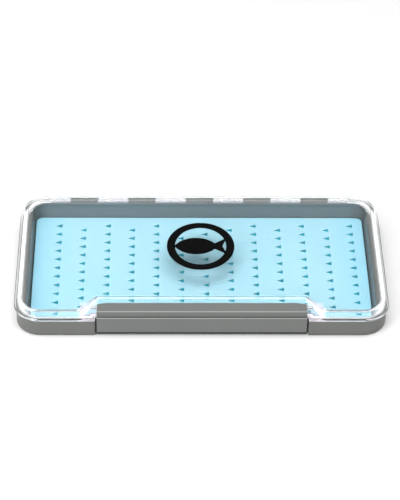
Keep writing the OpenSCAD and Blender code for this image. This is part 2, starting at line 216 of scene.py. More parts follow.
# Round rods along X: for each middle and length, rings of a circle with a small bevel at both ends
def rods(name, middles, lengths, radius, at, bevel=0.25, sides=40):
    angle = np.linspace(0, 2 * math.pi, sides, endpoint=False)
    step = np.array([-1, -1, 1, 1])
    cutBack = np.array([0, bevel, -bevel, 0])
    radii = radius - np.array([bevel, 0, 0, bevel])
    x = np.asarray(middles)[:, None] + step * np.asarray(lengths)[:, None] / 2 + cutBack
    y = at[1] + radii[:, None] * np.cos(angle)
    z = at[2] + radii[:, None] * np.sin(angle)
    count = len(x)
    grid = np.empty((count, 4, sides, 3))
    grid[..., 0], grid[..., 1], grid[..., 2] = x[:, :, None], y[None], z[None]
    skin = gridFaces(4, sides)
    faces = []
    for k in range(count):
        base = k * 4 * sides
        faces += (skin + base).tolist()
        faces.append(list(range(base + sides - 1, base - 1, -1)))
        faces.append(list(range(base + 3 * sides, base + 4 * sides)))
    return makePiece(name, grid.reshape(-1, 3), faces)


# Straight bore for a pin, through everything within its half length
def bore(name, half, radius, at):
    return rods(name, [0], [2 * half], radius, at, pinFits["bevel"], pinFits["sides"])


# Room for barrels that turn between their neighbours
def barrelRoom(name, middles, lengths):
    return rods(name, middles, lengths + 2 * swingGap, barrelR + swingGap, hingeAt, pinFits["bevel"])


# Adds or cuts whole shapes and keeps the outcome as the piece's own mesh
def combine(piece, others, operation):
    for other in others:
        change = piece.modifiers.new(operation.lower(), "BOOLEAN")
        change.operation = operation
        change.solver = "EXACT"
        change.object = other
    bpy.context.view_layer.update()
    evaluated = piece.evaluated_get(bpy.context.evaluated_depsgraph_get())
    finished = bpy.data.meshes.new_from_object(evaluated)
    piece.modifiers.clear()
    piece.data = finished
    for other in others:
        bpy.data.objects.remove(other)
    return piece


def smoothFaces(piece, sharpAbove):
    mesh = piece.data
    mesh.polygons.foreach_set("use_smooth", np.ones(len(mesh.polygons), bool))
    mesh.set_sharp_from_angle(angle=math.radians(sharpAbove))
    weigh = piece.modifiers.new("evenShading", "WEIGHTED_NORMAL")
    weigh.keep_sharp = True
    return piece


def newMaterial(name):
    material = bpy.data.materials.new(name)
    material.use_nodes = True
    tree = material.node_tree
    tree.nodes.clear()
    return material, tree


# A node with the given values on its sockets, named with underscores for spaces
def addNode(tree, kind, **inputs):
    node = tree.nodes.new(kind)
    for name, value in inputs.items():
        node.inputs[name.replace("_", " ")].default_value = value
    return node


# Screen colour in parts of 255 made linear: c / 12.92 at the dark end, else ((c + 0.055) / 1.055) to the
# power 2.4
def srgb(red, green, blue):
    part = np.array([red, green, blue]) / 255
    linear = np.where(part <= 0.04045, part / 12.92, ((part + 0.055) / 1.055) ** 2.4)
    return (*linear.tolist(), 1.0)


# Fine and slow noise on the piece's own coordinates: height for the grain, a mask for tone and gloss
def makeGrain():
    group = bpy.data.node_groups.new("mouldGrain", "ShaderNodeTree")
    face = group.interface
    face.new_socket("Vector", in_out="INPUT", socket_type="NodeSocketVector")
    face.new_socket("Fine", in_out="INPUT", socket_type="NodeSocketFloat")
    face.new_socket("Slow", in_out="INPUT", socket_type="NodeSocketFloat")
    face.new_socket("Height", in_out="OUTPUT", socket_type="NodeSocketFloat")
    face.new_socket("Mask", in_out="OUTPUT", socket_type="NodeSocketFloat")
    given = group.nodes.new("NodeGroupInput")
    result = group.nodes.new("NodeGroupOutput")
    fine = addNode(group, "ShaderNodeTexNoise", Detail=3.0, Roughness=0.6)
    slow = addNode(group, "ShaderNodeTexNoise", Detail=2.0, Roughness=0.5)
    link = group.links.new
    link(given.outputs["Vector"], fine.inputs["Vector"])
    link(given.outputs["Vector"], slow.inputs["Vector"])
    link(given.outputs["Fine"], fine.inputs["Scale"])
    link(given.outputs["Slow"], slow.inputs["Scale"])
    link(fine.outputs["Fac"], result.inputs["Height"])
    link(slow.outputs["Fac"], result.inputs["Mask"])
    return group


grain = makeGrain()


# One arithmetic step on two values, each a number or another node's output
def calculate(tree, operation, first, second, clamped=False):
    step = tree.nodes.new("ShaderNodeMath")
    step.operation = operation
    step.use_clamp = clamped
    for socket, value in zip(step.inputs, (first, second)):
        if isinstance(value, (int, float)):
            socket.default_value = value
        else:
            tree.links.new(value, socket)
    return step.outputs[0]


# All the values multiplied together
def product(tree, *values):
    total = values[0]
    for value in values[1:]:
        total = calculate(tree, "MULTIPLY", total, value)
    return total


# One where a value lies between two limits, and nought elsewhere
def between(tree, value, low, high):
    above, below = calculate(tree, "GREATER_THAN", value, low), calculate(tree, "LESS_THAN", value, high)
    return product(tree, above, below)


# The piece's own coordinates as three outputs: the size of x on either side, y and z
def spots(tree, place):
    parts = tree.nodes.new("ShaderNodeSeparateXYZ")
    tree.links.new(place.outputs["Object"], parts.inputs["Vector"])
    side = calculate(tree, "ABSOLUTE", parts.outputs["X"], 0.0)
    return side, parts.outputs["Y"], parts.outputs["Z"]


# How a surface lies, from its own normal (x, y, z). Edge is 4 z z (1 - z z), which peaks halfway between
# upright and level. Corner is 4 x x y y, which peaks on upright faces that turn a corner. Under grows as
# the surface turns to face down, and back as it turns to face the hinge.
def makeLie():
    group = bpy.data.node_groups.new("surfaceLie", "ShaderNodeTree")
    group.interface.new_socket("Normal", in_out="INPUT", socket_type="NodeSocketVector")
    given = group.nodes.new("NodeGroupInput")
    parts = group.nodes.new("ShaderNodeSeparateXYZ")
    group.links.new(given.outputs["Normal"], parts.inputs["Vector"])
    x, y, z = parts.outputs
    xx, yy, zz = (calculate(group, "MULTIPLY", part, part) for part in (x, y, z))
    masks = {
        "Edge": (calculate(group, "MULTIPLY", zz, calculate(group, "SUBTRACT", 1.0, zz)), 4.0),
        "Corner": (calculate(group, "MULTIPLY", xx, yy), 4.0),
        "Under": (z, -2.0),
        "Back": (y, 2.0),
    }
    for name in masks:
        group.interface.new_socket(name, in_out="OUTPUT", socket_type="NodeSocketFloat")
    result = group.nodes.new("NodeGroupOutput")
    for name, (value, scale) in masks.items():
        group.links.new(calculate(group, "MULTIPLY", value, scale, True), result.inputs[name])
    return group


lie = makeLie()


# Puts the lie masks into a material and returns them by name
def useLie(tree, place):
    use = tree.nodes.new("ShaderNodeGroup")
    use.node_tree = lie
    tree.links.new(place.outputs["Normal"], use.inputs["Normal"])
    return use.outputs


# Puts the grain into a material, drawn out along X if asked, and returns the place, its height and its mask
def useGrain(tree, fine, slow, drawnOut=1.0):
    place = tree.nodes.new("ShaderNodeTexCoord")
    use = tree.nodes.new("ShaderNodeGroup")
    use.node_tree = grain
    use.inputs["Fine"].default_value = fine
    use.inputs["Slow"].default_value = slow
    spot = place.outputs["Object"]
    if drawnOut != 1.0:
        stretch = addNode(tree, "ShaderNodeMapping", Scale=(1.0 / drawnOut, 1.0, 1.0))
        tree.links.new(spot, stretch.inputs["Vector"])
        spot = stretch.outputs["Vector"]
    tree.links.new(spot, use.inputs["Vector"])
    return place, use.outputs["Height"], use.outputs["Mask"]


# A value from nought to one stretched between two others
def mapRange(tree, value, low, high):
    ranged = addNode(tree, "ShaderNodeMapRange", To_Min=low, To_Max=high)
    tree.links.new(value, ranged.inputs["Value"])
    return ranged.outputs["Result"]


# Rises from nought to one as a value goes from one limit to the other
def fade(tree, value, first, last, kind="LINEAR"):
    ranged = addNode(tree, "ShaderNodeMapRange", From_Min=first, From_Max=last)
    ranged.interpolation_type = kind
    tree.links.new(value, ranged.inputs["Value"])
    return ranged.outputs["Result"]


# Roughness that wanders with a mask, the spread to either side of its middle value
def unevenGloss(tree, mask, settings):
    middle, spread = settings["roughness"], settings["glossSpread"]
    return mapRange(tree, mask, middle - spread, middle + spread)


# First colour where the mask is nought, second where it is one; each a colour or another node's output
def mixColours(tree, mask, first, second):
    mix = tree.nodes.new("ShaderNodeMix")
    mix.data_type = "RGBA"
    tree.links.new(mask, mix.inputs["Factor"])
    for socket, colour in ((mix.inputs[6], first), (mix.inputs[7], second)):
        if isinstance(colour, tuple):
            socket.default_value = colour
        else:
            tree.links.new(colour, socket)
    return mix.outputs[2]


def bumpFrom(tree, height, settings):
    bump = addNode(tree, "ShaderNodeBump", Strength=settings["grain"], Distance=settings["grainDepth"])
    tree.links.new(height, bump.inputs["Height"])
    return bump.outputs["Normal"]


def finishMaterial(tree, shader):
    output = tree.nodes.new("ShaderNodeOutputMaterial")
    tree.links.new(shader.outputs[0], output.inputs["Surface"])


# Lengths in millimetres as a tuple in metres, for places on a piece
def inMetres(*lengths):
    return tuple(float(length) * mm for length in lengths)


# Satin moulded plastic: two close tones, a painted highlight on edges that face away from the hinge, painted
# shade on faces turned down, uneven gloss and a fine mould grain. A pocket, told by half width, front and
# back, takes a painted blue bounce light on its walls and painted shade towards its sides; a foot below a
# height takes painted shade.
def mouldedPlastic(name, settings):
    material, tree = newMaterial(name)
    place, height, mask = useGrain(tree, settings["grainScale"], settings["toneScale"])
    shader = addNode(tree, "ShaderNodeBsdfPrincipled", IOR=1.5)
    lies = useLie(tree, place)
    side, y, z = spots(tree, place)
    tone = mixColours(tree, mask, settings["dark"], settings["light"])
    # Painted highlight: edges that face away from the hinge turn paler
    share = calculate(tree, "SUBTRACT", settings["highlightShare"], lies["Back"])
    tone = mixColours(tree, calculate(tree, "MULTIPLY", lies["Edge"], share, True), tone, settings["edge"])
    # Painted shade: faces turned down turn dark
    tone = mixColours(tree, product(tree, lies["Under"], settings["underShadeShare"]), tone, settings["under"])
    gloss = unevenGloss(tree, mask, settings)
    # Painted light in the pocket: a blue tone for bounce light from the insert, a darker tone for shade on
    # the side walls
    if "pocket" in settings:
        half, front, back = settings["pocket"]
        inside = product(tree, calculate(tree, "LESS_THAN", side, half), between(tree, y, front, back))
        aside = fade(tree, side, *settings["pocketSide"])
        shadedWalls = mixColours(tree, aside, settings["pocketBounceTone"], settings["pocketSideShade"])
        tone = mixColours(tree, inside, tone, shadedWalls)
        gloss = calculate(tree, "SUBTRACT", gloss, product(tree, inside, settings["pocketGloss"]))
    # Painted shade on the foot below a height
    if "foot" in settings:
        low = calculate(tree, "LESS_THAN", z, settings["foot"])
        tone = mixColours(tree, low, tone, settings["footShadeTone"])
    tree.links.new(tone, shader.inputs["Base Color"])
    tree.links.new(gloss, shader.inputs["Roughness"])
    tree.links.new(bumpFrom(tree, height, settings), shader.inputs["Normal"])
    finishMaterial(tree, shader)
    return material


# Tray: the edge tone is a painted highlight, the under tone painted shade, the pocket tones painted bounce
# light and painted shade
trayPlastic = mouldedPlastic("trayGrey", {
    "dark": srgb(97, 99, 96), "light": srgb(106, 108, 105),
    "edge": srgb(150, 152, 149), "highlightShare": 0.3, "under": srgb(48, 50, 48), "underShadeShare": 0.9,
    "pocket": inMetres(trayHigh[0] - 4.3, latchLow[1] + 3.9, gasketHigh[1] - 1.35),
    "pocketSide": inMetres(insertHigh[0] - 6.5, insertHigh[0]),
    "pocketBounceTone": srgb(101, 112, 116), "pocketSideShade": srgb(84, 87, 86), "pocketGloss": 0.03,
    "roughness": 0.42, "glossSpread": 0.05,
    "grain": 0.35, "grainDepth": 0.00004, "grainScale": 2600.0, "toneScale": 38.0,
})
# Latch: the edge tone is a painted highlight, the under and foot tones painted shade
latchPlastic = mouldedPlastic("latchGrey", {
    "dark": srgb(101, 104, 102), "light": srgb(110, 113, 110),
    "edge": srgb(175, 178, 176), "highlightShare": 0.7, "under": srgb(30, 32, 31), "underShadeShare": 0.9,
    "foot": (latchLow[2] + 1.35) * mm, "footShadeTone": srgb(42, 44, 42),
    "roughness": 0.38, "glossSpread": 0.05,
    "grain": 0.3, "grainDepth": 0.00004, "grainScale": 2600.0, "toneScale": 45.0,
})


# Soft silicone: light inside its body and a faint dusty sheen. A slit sheet turns a little deeper towards
# its two ends and takes a strong tone of painted shade down in its slits
def softSilicone(name, settings):
    material, tree = newMaterial(name)
    place, height, mask = useGrain(tree, settings["grainScale"], settings["toneScale"])
    shader = addNode(tree, "ShaderNodeBsdfPrincipled", IOR=1.41)
    shader.inputs["Subsurface Weight"].default_value = settings["softness"]
    shader.inputs["Subsurface Radius"].default_value = settings["spread"]
    shader.inputs["Subsurface Scale"].default_value = settings["depth"]
    tone = mixColours(tree, mask, settings["deep"], settings["bright"])
    if "slit" in settings:
        side, y, z = spots(tree, place)
        tone = mixColours(tree, fade(tree, side, *settings["endAcross"], "SMOOTHSTEP"), tone, settings["end"])
        # Painted shade: a deep strong tone down in the slits
        tone = mixColours(tree, fade(tree, z, *settings["slitShadeDown"]), tone, settings["slit"])
    tree.links.new(tone, shader.inputs["Base Color"])
    tree.links.new(unevenGloss(tree, mask, settings), shader.inputs["Roughness"])
    tree.links.new(bumpFrom(tree, height, settings), shader.inputs["Normal"])
    finishMaterial(tree, shader)
    return material


# The slit tone is painted shade down in the slits
insertSilicone = softSilicone("siliconeBlue", {
    "deep": srgb(140, 184, 196), "bright": srgb(148, 188, 200), "slit": srgb(46, 192, 206),
    "end": srgb(133, 184, 201), "endAcross": inMetres(insertHigh[0] - 23.5, insertHigh[0] + 2.5),
    "slitShadeDown": inMetres(insertHigh[2] - 0.05, insertHigh[2] - 0.7),
    "softness": 0.25, "spread": (0.4, 0.8, 1.0), "depth": 0.001,
    "roughness": 0.55, "glossSpread": 0.06,
    "grain": 0.25, "grainDepth": 0.00005, "grainScale": 1500.0, "toneScale": 14.0,
})
gasketSilicone = softSilicone("siliconeWhite", {
    "deep": srgb(214, 217, 216), "bright": srgb(228, 230, 229),
    "softness": 0.05, "spread": (0.5, 0.5, 0.5), "depth": 0.0005,
    "roughness": 0.5, "glossSpread": 0.06,
    "grain": 0.3, "grainDepth": 0.00005, "grainScale": 2200.0, "toneScale": 60.0,
})


# Masks of the parts of the lid that take a painted glow standing in for highlights: rounded shoulders away
# from the hinge, the flange's lower edge, upright corners, barrels, and the front face below a painted dark
# line of shade on its edge. Returns them as one, then the lugs, the painted dark line and the edges that face
# the hinge, which take painted shade
def brightParts(tree, place, settings):
    lies = useLie(tree, place)
    side, y, z = spots(tree, place)
    away = calculate(tree, "SUBTRACT", 1.0, lies["Back"])
    bright = product(tree, lies["Edge"], calculate(tree, "GREATER_THAN", z, settings["shoulderFoot"]), away)
    lowEdge = product(tree, lies["Edge"], calculate(tree, "LESS_THAN", z, settings["lowEdgeTop"]))
    corners = product(tree, lies["Corner"], settings["cornerShare"])
    atHinge = calculate(tree, "GREATER_THAN", y, settings["barrelFront"])
    barrels = product(tree, atHinge, settings["barrelShare"])
    lugs = product(
        tree, between(tree, side, *settings["lugAcross"]),
        calculate(tree, "LESS_THAN", y, settings["lugBack"]),
        calculate(tree, "GREATER_THAN", z, settings["lugFoot"]),
    )
    for part in (lowEdge, corners, barrels, product(tree, lugs, settings["lugShare"])):
        bright = calculate(tree, "ADD", bright, part, True)
    front = product(
        tree, between(tree, side, *settings["lineAcross"]),
        calculate(tree, "LESS_THAN", y, settings["lineBack"]),
    )
    foot, top = settings["lineUp"]
    line = product(tree, front, between(tree, z, foot, top))
    bright = product(tree, bright, calculate(tree, "SUBTRACT", 1.0, line))
    below = product(tree, front, calculate(tree, "LESS_THAN", z, foot))
    return calculate(tree, "ADD", bright, below, True), lugs, line, product(tree, lies["Edge"], lies["Back"])


# Clear moulded plastic: refraction with a trace of flow marks, a weak painted glow standing in for
# highlights, a painted reflection tint on the lugs, a painted dark line and painted shade on edges that face
# the hinge, and light let through for shadows
def clearPlastic(name, settings):
    material, tree = newMaterial(name)
    place, height, mask = useGrain(tree, settings["flowScale"], settings["hazeScale"])
    glass = addNode(tree, "ShaderNodeBsdfPrincipled", IOR=settings["ior"], Metallic=0.0)
    glass.inputs["Transmission Weight"].default_value = 1.0
    glass.inputs["Emission Strength"].default_value = settings["glowStrength"]
    tree.links.new(mapRange(tree, mask, settings["clear"], settings["haze"]), glass.inputs["Roughness"])
    tree.links.new(bumpFrom(tree, height, settings), glass.inputs["Normal"])
    bright, lugs, line, shadedBackEdges = brightParts(tree, place, settings)
    # Painted glow standing in for highlights on shoulders, edges, corners, barrels and lugs
    glow = mixColours(tree, bright, settings["noGlow"], settings["glow"])
    tree.links.new(glow, glass.inputs["Emission Color"])
    # Painted reflection: the lugs take a lavender tint
    tone = mixColours(tree, lugs, settings["tint"], settings["lugReflectionTint"])
    # Painted shade: a dark line along the flange's front
    tone = mixColours(tree, line, tone, settings["shadeLineTint"])
    # Painted shade: edges that face the hinge turn grey
    tree.links.new(mixColours(tree, shadedBackEdges, tone, settings["backEdge"]), glass.inputs["Base Color"])
    through = addNode(tree, "ShaderNodeBsdfTransparent", Color=settings["shadow"])
    rays = tree.nodes.new("ShaderNodeLightPath")
    mix = tree.nodes.new("ShaderNodeMixShader")
    tree.links.new(rays.outputs["Is Shadow Ray"], mix.inputs["Fac"])
    tree.links.new(glass.outputs[0], mix.inputs[1])
    tree.links.new(through.outputs[0], mix.inputs[2])
    finishMaterial(tree, mix)
    return material


# The glow is a painted highlight, the lug tint a painted reflection, the line tint and back edge tone painted
# shade
lidClear = clearPlastic("lidClear", {
    "tint": (0.985, 0.99, 0.995, 1.0), "shadow": (0.87, 0.88, 0.885, 1.0), "ior": 1.56,
    "clear": 0.0, "haze": 0.02, "hazeScale": 25.0,
    "grain": 0.04, "grainDepth": 0.00005, "flowScale": 60.0,
    "glow": (0.93, 0.93, 1.0, 1.0), "noGlow": (0.0, 0.0, 0.0, 1.0), "glowStrength": 0.4,
    "shoulderFoot": (lidHigh[2] - 1.6) * mm, "lowEdgeTop": (gasketHigh[2] + 0.6) * mm, "cornerShare": 0.6,
    "barrelFront": (lidHigh[1] - 3.2) * mm, "barrelShare": 0.3, "backEdge": (0.58, 0.6, 0.65, 1.0),
    "lugAcross": inMetres(latchHigh[0] + 0.1, latchHigh[0] + 8.8), "lugBack": (latchHigh[1] + 0.1) * mm,
    "lugFoot": (gasketHigh[2] + 0.3) * mm, "lugShare": 0.45, "lugReflectionTint": (0.82, 0.68, 0.74, 1.0),
    "lineAcross": inMetres(latchHigh[0] + 7.8, lidHigh[0] - 13.2), "lineBack": (lidLow[1] + 0.7) * mm,
    "lineUp": inMetres(gasketHigh[2] + 1.0, gasketHigh[2] + 1.6), "shadeLineTint": (0.03, 0.03, 0.035, 1.0),
})


# Drawn steel wire: fine lines along X, from grain drawn out that way
def drawnSteel(name, settings):
    material, tree = newMaterial(name)
    place, height, mask = useGrain(tree, settings["grainScale"], settings["toneScale"], settings["drawnOut"])
    shader = addNode(tree, "ShaderNodeBsdfPrincipled", Metallic=1.0)
    tree.links.new(mixColours(tree, mask, settings["dark"], settings["light"]), shader.inputs["Base Color"])
    tree.links.new(unevenGloss(tree, height, settings), shader.inputs["Roughness"])
    tree.links.new(bumpFrom(tree, height, settings), shader.inputs["Normal"])
    finishMaterial(tree, shader)
    return material


pinSteel = drawnSteel("pinSteel", {
    "dark": srgb(168, 170, 172), "light": srgb(198, 199, 200), "roughness": 0.27, "glossSpread": 0.09,
    "grain": 0.3, "grainDepth": 0.00002, "grainScale": 9000.0, "toneScale": 700.0, "drawnOut": 50.0,
})


# Printed film and adhesive film: a thin even coat with a slight orange peel
def thinFilm(name, settings):
    material, tree = newMaterial(name)
    place, height, mask = useGrain(tree, settings["grainScale"], settings["toneScale"])
    shader = addNode(tree, "ShaderNodeBsdfPrincipled", IOR=1.5, Specular_IOR_Level=settings["shine"])
    tree.links.new(mixColours(tree, mask, settings["dark"], settings["light"]), shader.inputs["Base Color"])
    tree.links.new(unevenGloss(tree, mask, settings), shader.inputs["Roughness"])
    tree.links.new(bumpFrom(tree, height, settings), shader.inputs["Normal"])
    finishMaterial(tree, shader)
    return material


emblemInk = thinFilm("emblemInk", {
    "dark": srgb(3, 3, 3), "light": srgb(7, 7, 7), "shine": 0.06, "roughness": 0.51, "glossSpread": 0.05,
    "grain": 0.2, "grainDepth": 0.00003, "grainScale": 1800.0, "toneScale": 300.0,
})
adhesiveFilm = thinFilm("adhesiveFilm", {
    "dark": srgb(228, 226, 214), "light": srgb(240, 238, 228), "shine": 0.5, "roughness": 0.51,
    "glossSpread": 0.05, "grain": 0.2, "grainDepth": 0.00003, "grainScale": 1500.0, "toneScale": 120.0,
})
print("materials made")


traySizes = {
    "corner": 13.3, "backFromHinge": 0.7, "floor": 1.2,
    "recessHalf": latchHigh[0] + 0.9, "recessY": latchLow[1] + 2.8, "recessIn": 0.2, "recessOut": 0.45,
    "grooveWall": 1.2, "frontGrooveWall": 1.9, "recessGrooveWall": 1.0, "grooveRecessOut": 0.3,
    "grooveWidth": 1.6, "grooveDepth": 1.2, "grooveEdge": 0.1, "sealGap": 0.05, "sealProud": 0.1, "lip": 0.6,
    "sideLedge": 2.1, "leanSide": 1.5, "leanBack": 2.0, "mouthCorner": 8.0, "footCorner": 3.8,
    "backLip": 2.2, "backLipThick": 0.55, "backLipEdge": 0.15, "backLipFrom": 0.02, "backLipRoot": 0.6,
    "backLipLeast": 0.1, "backLipSteps": 22,
    "footEdge": 0.9, "rimEdge": 0.35, "mouthEdge": 0.4, "floorFillet": 0.8,
    "undersideRim": 3.0, "undersideDepth": 0.3, "undersideIn": 1.2,
    "barrelLength": 15.2, "barrelCount": 5, "endBarrel": 11.3,
    "catchHalf": 20.0, "catchOut": 0.8, "catchLow": 3.6, "catchHigh": 4.8,
    "catchRoot": 0.4, "catchEdges": (0.1, 0.3, 0.5), "catchEnd": 0.3,
    "sharpAbove": 32,
}
rimZ = gasketHigh[2] - traySizes["sealProud"]
trayPlan = {
    "half": trayHigh[0], "front": latchLow[1], "back": hingeAt[1] - traySizes["backFromHinge"],
    "corner": traySizes["corner"], "recessHalf": traySizes["recessHalf"], "recessY": traySizes["recessY"],
    "recessIn": traySizes["recessIn"], "recessOut": traySizes["recessOut"],
}
groovePlan = dict(
    trayPlan, half=trayPlan["half"] - traySizes["grooveWall"],
    front=trayPlan["front"] + traySizes["frontGrooveWall"], back=gasketHigh[1] + traySizes["sealGap"],
    corner=trayPlan["corner"] - traySizes["grooveWall"],
    recessHalf=trayPlan["recessHalf"] + traySizes["recessGrooveWall"],
    recessY=trayPlan["recessY"] + traySizes["recessGrooveWall"],
    recessIn=traySizes["recessGrooveWall"], recessOut=traySizes["grooveRecessOut"],
)
lipInset = traySizes["grooveWidth"] + traySizes["lip"]
mouthPlan = dict(
    groovePlan, half=groovePlan["half"] - lipInset - traySizes["sideLedge"],
    front=groovePlan["front"] + lipInset, back=groovePlan["back"] - lipInset, corner=traySizes["mouthCorner"],
    recessHalf=groovePlan["recessHalf"] + lipInset, recessY=groovePlan["recessY"] + lipInset,
    recessIn=groovePlan["recessIn"] + lipInset,
)
footPlan = dict(
    mouthPlan, half=mouthPlan["half"] - traySizes["leanSide"], front=mouthPlan["recessY"],
    back=mouthPlan["back"] - traySizes["leanBack"], corner=traySizes["footCorner"],
)


# Middles and lengths of the tray's barrels: an even row between the lid's two end barrels
def trayBarrels():
    s = traySizes
    outer = hingeHalf - s["endBarrel"] - swingGap
    pitch = (2 * outer - s["barrelLength"]) / (s["barrelCount"] - 1)
    middles = (np.arange(s["barrelCount"]) - (s["barrelCount"] - 1) / 2) * pitch
    return middles, np.full(s["barrelCount"], s["barrelLength"])


# Middles and lengths of the lid's barrels: they fill the gaps of the tray's row and stand at both its ends
def lidBarrels():
    row = trayBarrels()[0]
    gaps = (row[:-1] + row[1:]) / 2
    length = row[1] - row[0] - traySizes["barrelLength"] - 2 * swingGap
    end = hingeHalf - traySizes["endBarrel"] / 2
    middles = np.concatenate([gaps, [-end, end]])
    return middles, np.concatenate([np.full(len(gaps), length), [traySizes["endBarrel"]] * 2])


# Catch rib on the back of the recess: a rounded (y, z) block carried along X
def catchRib():
    s = traySizes
    back, face = s["recessY"] + s["catchRoot"], s["recessY"] - s["catchOut"]
    root, under, over = s["catchEdges"]
    profile = roundCorners([
        (back, s["catchLow"], root), (face, s["catchLow"], under),
        (face, s["catchHigh"], over), (back, s["catchHigh"], root),
    ])
    return barAlongX("catchRib", profile, -s["catchHalf"], s["catchHalf"], s["catchEnd"])


# Lip round the back of the mouth: a thin upright section carried round both back corners, on points centre
# + (corner + offset) * (cos a, sin a), rising at 45 degrees from each end to its full height
def backLip():
    s = traySizes
    corner, steps = mouthPlan["corner"], s["backLipSteps"]
    thick, edge, start = s["backLipThick"], s["backLipEdge"], s["backLipFrom"]
    middle = np.array([mouthPlan["half"] - corner, mouthPlan["back"] - corner])
    right = arcPoints((0, 0), 1.0, 0, 90, steps)
    turn = np.concatenate([right, right[::-1] * [-1, 1]])
    centre = np.concatenate([np.tile(middle, (steps, 1)), np.tile(middle * [-1, 1], (steps, 1))])
    rise = np.minimum(corner * turn[:, 1], s["backLip"])
    offset = np.array([start, start, edge, thick - edge, thick, thick])
    drop = np.array([0, edge, 0, 0, edge, 0])
    foot = np.array([1, 0, 0, 0, 0, 1])
    low, around = rimZ - s["backLipRoot"], len(offset)
    grid = np.empty((len(turn), around, 3))
    grid[..., :2] = centre[:, None] + turn[:, None] * (corner + offset)[None, :, None]
    grid[..., 2] = np.where(foot, low, np.maximum(rimZ + rise[:, None] - drop, low + s["backLipLeast"]))
    size = len(turn) * around
    faces = gridFaces(len(turn), around).tolist()
    faces += [list(range(around - 1, -1, -1)), list(range(size - around, size))]
    return makePiece("backLip", grid.reshape(-1, 3), faces)


# Skin of the tray from the underside, up the outer wall, over the rim and its groove, and down to the floor
def makeTray():
    s = traySizes
    foot, rim = s["footEdge"], s["rimEdge"]
    dip, dipRim = s["undersideDepth"], s["undersideRim"]
    wide, edge, grooveFoot = s["grooveWidth"], s["grooveEdge"], rimZ - s["grooveDepth"]
    stack = level(trayPlan, dipRim + s["undersideIn"], dip)
    stack += roundEdge(trayPlan, (dipRim + dip, dip), (dipRim, 0), "in", 3)
    stack += roundEdge(trayPlan, (foot, 0), (0, foot), "in", 5)
    stack += roundEdge(trayPlan, (0, rimZ - rim), (rim, rimZ), "up", 4)
    stack += level(groovePlan, -edge, rimZ) + level(groovePlan, 0, rimZ - edge)
    stack += level(groovePlan, 0, grooveFoot) + level(groovePlan, wide, grooveFoot)
    stack += level(groovePlan, wide, rimZ - edge) + level(groovePlan, wide + edge, rimZ)
    stack += roundEdge(mouthPlan, (-s["mouthEdge"] / 2, rimZ), (0, rimZ - s["mouthEdge"]), "in", 4)
    stack += roundEdge(footPlan, (0, s["floor"] + s["floorFillet"]), (s["floorFillet"], s["floor"]), "up", 4)
    tray = loft("tray", stack)
    barrels = rods("trayBarrels", *trayBarrels(), barrelR, hingeAt)
    combine(tray, [barrels, backLip(), catchRib()], "UNION")
    room = barrelRoom("lidBarrelRoom", *lidBarrels())
    pinBore = bore("pinBore", hingeHalf + pinFits["past"], pinFits["hingeHeld"], hingeAt)
    combine(tray, [room, pinBore], "DIFFERENCE")
    smoothFaces(tray, s["sharpAbove"])
    tray.data.materials.append(trayPlastic)
    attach(tray, "tray")
    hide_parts("base_tray")


makeTray()
print("tray made")


gasketSizes = {"foot": 0.2, "crown": 0.35, "sharpAbove": 50}


# Seal cord: a rounded section whose points are insets and heights of the groove's outline
def makeGasket():
    s = gasketSizes
    low, high = gasketLow[2], gasketHigh[2]
    outer, inner = traySizes["sealGap"], traySizes["grooveWidth"] - traySizes["sealGap"]
    section = roundCorners([
        (outer, low, s["foot"]), (outer, high, s["crown"]),
        (inner, high, s["crown"]), (inner, low, s["foot"]),
    ])
    gasket = loft("rimGasket", [(outline(groovePlan, i), z) for i, z in section], closed=True)
    smoothFaces(gasket, s["sharpAbove"])
    gasket.data.materials.append(gasketSilicone)
    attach(gasket, "tray")
    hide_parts("rim_gasket")


makeGasket()
print("gasket made")


insertSizes = {
    "corner": 3.5, "edge": 0.35, "columnPitch": 13.55, "rowPitch": 7.2, "margin": 5.2,
    "mouthLength": 3.6, "mouthWidth": 3.0, "cutLength": 5.2, "cutWidth": 0.02, "cutFlare": 0.1,
    "flare": 0.05, "levels": ((-2.0, -0.5), (-0.05, 0.0), (0.0, 1.0), (0.4, 4.3)), "sharpAbove": 35,
}


# Middles of the slits: columns at an even pitch, every second one half a row lower and one row shorter
def slitPlaces():
    s = insertSizes
    wide, deep = insertHigh[0] - insertLow[0], insertHigh[1] - insertLow[1]
    slit = s["mouthLength"] + s["cutLength"]
    columns = int((wide - 2 * s["margin"] - slit) // s["columnPitch"]) + 1
    rows = int((deep - 2 * s["margin"] - s["mouthWidth"]) // s["rowPitch"]) + 1
    c, r = np.meshgrid(np.arange(columns), np.arange(rows), indexing="ij")
    lower = c % 2
    x = (c - (columns - 1) / 2) * s["columnPitch"]
    y = (insertLow[1] + insertHigh[1]) / 2 + ((rows - 1 - lower) / 2 - r) * s["rowPitch"]
    kept = r < rows - lower
    return np.stack([x[kept], y[kept]], 1)


